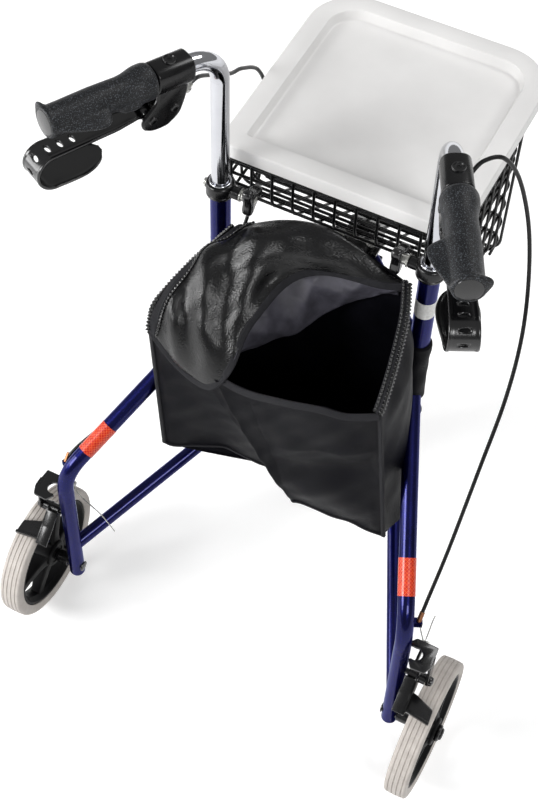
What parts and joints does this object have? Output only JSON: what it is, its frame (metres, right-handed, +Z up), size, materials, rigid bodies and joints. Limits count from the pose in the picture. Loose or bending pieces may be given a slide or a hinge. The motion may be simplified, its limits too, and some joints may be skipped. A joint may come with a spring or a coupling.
{
  "type": "three wheel rollator",
  "caption": "Folding three wheel walking frame with height set handles, squeeze brakes, wire basket, lift-off tray and soft carrying bag.",
  "frame": {"origin": "centre of the overall outline, on the floor", "axes": "+X to the user's right, +Y forward, +Z up"},
  "size_m": [0.655, 0.68, 0.9681],
  "materials": {
    "frame_paint": "metallic navy gloss paint",
    "chrome": "bright chrome plate",
    "black_steel": "black stove enamel",
    "steel": "zinc plated",
    "tyre_grey": "light grey solid tyre",
    "black_plastic": "fine grained",
    "grip_black": "coarse grained",
    "cable_black": "smooth sheath",
    "tray_white": "satin",
    "bag_cloth": "woven nylon",
    "reflector_red": "reflective tape"
  },
  "bodies": {
    "base": {"head_column": "frame_paint", "head_top_plate": "black_steel", "head_low_plate": "black_steel", "hinge_cap": "black_steel", "hinge_pin_right": "steel", "hinge_pin_left": "steel", "basket_carrier": "black_steel", "bag": "bag_cloth"},
    "fold_catch": {"fold_catch": "chrome"},
    "caster": {"fork": "black_steel", "front_axle": "steel"},
    "front_wheel": {"front_tyre": "tyre_grey", "front_rim": "black_plastic"},
    "basket": {"basket_rear": "black_steel", "basket_front": "black_steel", "basket_right": "black_steel", "basket_left": "black_steel", "basket_floor": "black_steel"},
    "tray": {"tray": "tray_white"},
    "right_frame": {"upright_right": "frame_paint", "upper_rail_right": "frame_paint", "lower_rail_right": "frame_paint", "upper_arm_right": "frame_paint", "lower_arm_right": "frame_paint", "reflector_right": "reflector_red", "collar_right": "black_plastic", "collar_bolt_right": "steel", "brake_bracket_right": "black_steel", "rear_axle_right": "black_plastic", "brake_cable_right": "cable_black"},
    "right_knob": {"height_knob_right": "black_plastic"},
    "right_handle": {"handle_tube_right": "chrome", "grip_right": "grip_black", "brake_housing_right": "black_plastic", "cable_adjuster_right": "steel"},
    "right_lever": {"brake_lever_right": "black_plastic"},
    "right_brake": {"brake_arm_right": "black_steel"},
    "right_wheel": {"rear_tyre_right": "tyre_grey", "rear_rim_right": "black_plastic"},
    "left_frame": {"upright_left": "frame_paint", "upper_rail_left": "frame_paint", "lower_rail_left": "frame_paint", "upper_arm_left": "frame_paint", "lower_arm_left": "frame_paint", "reflector_left": "reflector_red", "collar_left": "black_plastic", "collar_bolt_left": "steel", "brake_bracket_left": "black_steel", "rear_axle_left": "black_plastic", "brake_cable_left": "cable_black"},
    "left_knob": {"height_knob_left": "black_plastic"},
    "left_handle": {"handle_tube_left": "chrome", "grip_left": "grip_black", "brake_housing_left": "black_plastic", "cable_adjuster_left": "steel"},
    "left_lever": {"brake_lever_left": "black_plastic"},
    "left_brake": {"brake_arm_left": "black_steel"},
    "left_wheel": {"rear_tyre_left": "tyre_grey", "rear_rim_left": "black_plastic"}
  },
  "joints": [
    {"name": "catch_turn", "type": "hinge", "parent": "base", "child": "fold_catch", "pos_m": [0, 0.085, 0.59325], "axis": [-1, 0, 0], "range_deg": [0, 35]},
    {"name": "caster_swivel", "type": "hinge", "parent": "base", "child": "caster", "pos_m": [0, 0.145, 0.2], "axis": [0, 0, 1], "continuous": true},
    {"name": "front_wheel_spin", "type": "hinge", "parent": "caster", "child": "front_wheel", "pos_m": [0, 0.19, 0.1], "axis": [1, 0, 0], "continuous": true},
    {"name": "basket_off", "type": "slide", "parent": "base", "child": "basket", "axis": [0, 1, 0], "range_m": [0, 0.12]},
    {"name": "tray_lift", "type": "slide", "parent": "basket", "child": "tray", "axis": [0, 0, 1], "range_m": [0, 0.03]},
    {"name": "right_fold", "type": "hinge", "parent": "base", "child": "right_frame", "pos_m": [0.021, 0.105, 0.4], "axis": [0, 0, -1], "range_deg": [0, 29], "deforming": ["bag"]},
    {"name": "right_knob_turn", "type": "hinge", "parent": "right_frame", "child": "right_knob", "pos_m": [0.137, -0.004, 0.72], "axis": [-1, 0, 0], "continuous": true},
    {"name": "right_height", "type": "slide", "parent": "right_frame", "child": "right_handle", "axis": [0, 0, 1], "range_m": [-0.12, 0.05], "deforming": ["brake_cable_right"]},
    {"name": "right_squeeze", "type": "hinge", "parent": "right_handle", "child": "right_lever", "pos_m": [0.18103, -0.09045, 0.89217], "axis": [-0.8911, -0.4538, 0], "range_deg": [0, 7], "stiffness_Nm_per_rad": 1.5},
    {"name": "right_brake_press", "type": "hinge", "parent": "right_frame", "child": "right_brake", "pos_m": [0.249, -0.24, 0.232], "axis": [1, 0, 0], "range_deg": [0, 4.1]},
    {"name": "right_wheel_spin", "type": "hinge", "parent": "right_frame", "child": "right_wheel", "pos_m": [0.3, -0.24, 0.1], "axis": [1, 0, 0], "continuous": true},
    {"name": "left_fold", "type": "hinge", "parent": "base", "child": "left_frame", "pos_m": [-0.021, 0.105, 0.4], "axis": [0, 0, 1], "range_deg": [0, 29], "deforming": ["bag"]},
    {"name": "left_knob_turn", "type": "hinge", "parent": "left_frame", "child": "left_knob", "pos_m": [-0.137, -0.004, 0.72], "axis": [1, 0, 0], "continuous": true},
    {"name": "left_height", "type": "slide", "parent": "left_frame", "child": "left_handle", "axis": [0, 0, 1], "range_m": [-0.12, 0.05], "deforming": ["brake_cable_left"]},
    {"name": "left_squeeze", "type": "hinge", "parent": "left_handle", "child": "left_lever", "pos_m": [-0.18103, -0.09045, 0.89217], "axis": [-0.8911, 0.4538, 0], "range_deg": [0, 7], "stiffness_Nm_per_rad": 1.5},
    {"name": "left_brake_press", "type": "hinge", "parent": "left_frame", "child": "left_brake", "pos_m": [-0.249, -0.24, 0.232], "axis": [1, 0, 0], "range_deg": [0, 4.1]},
    {"name": "left_wheel_spin", "type": "hinge", "parent": "left_frame", "child": "left_wheel", "pos_m": [-0.3, -0.24, 0.1], "axis": [1, 0, 0], "continuous": true}
  ],
  "couplings": [
    {"joint": "right_brake_press", "follows": "right_squeeze", "ratio": 0.57},
    {"joint": "left_brake_press", "follows": "left_squeeze", "ratio": 0.57},
    {"joint": "left_fold", "follows": "right_fold", "ratio": 1}
  ]
}
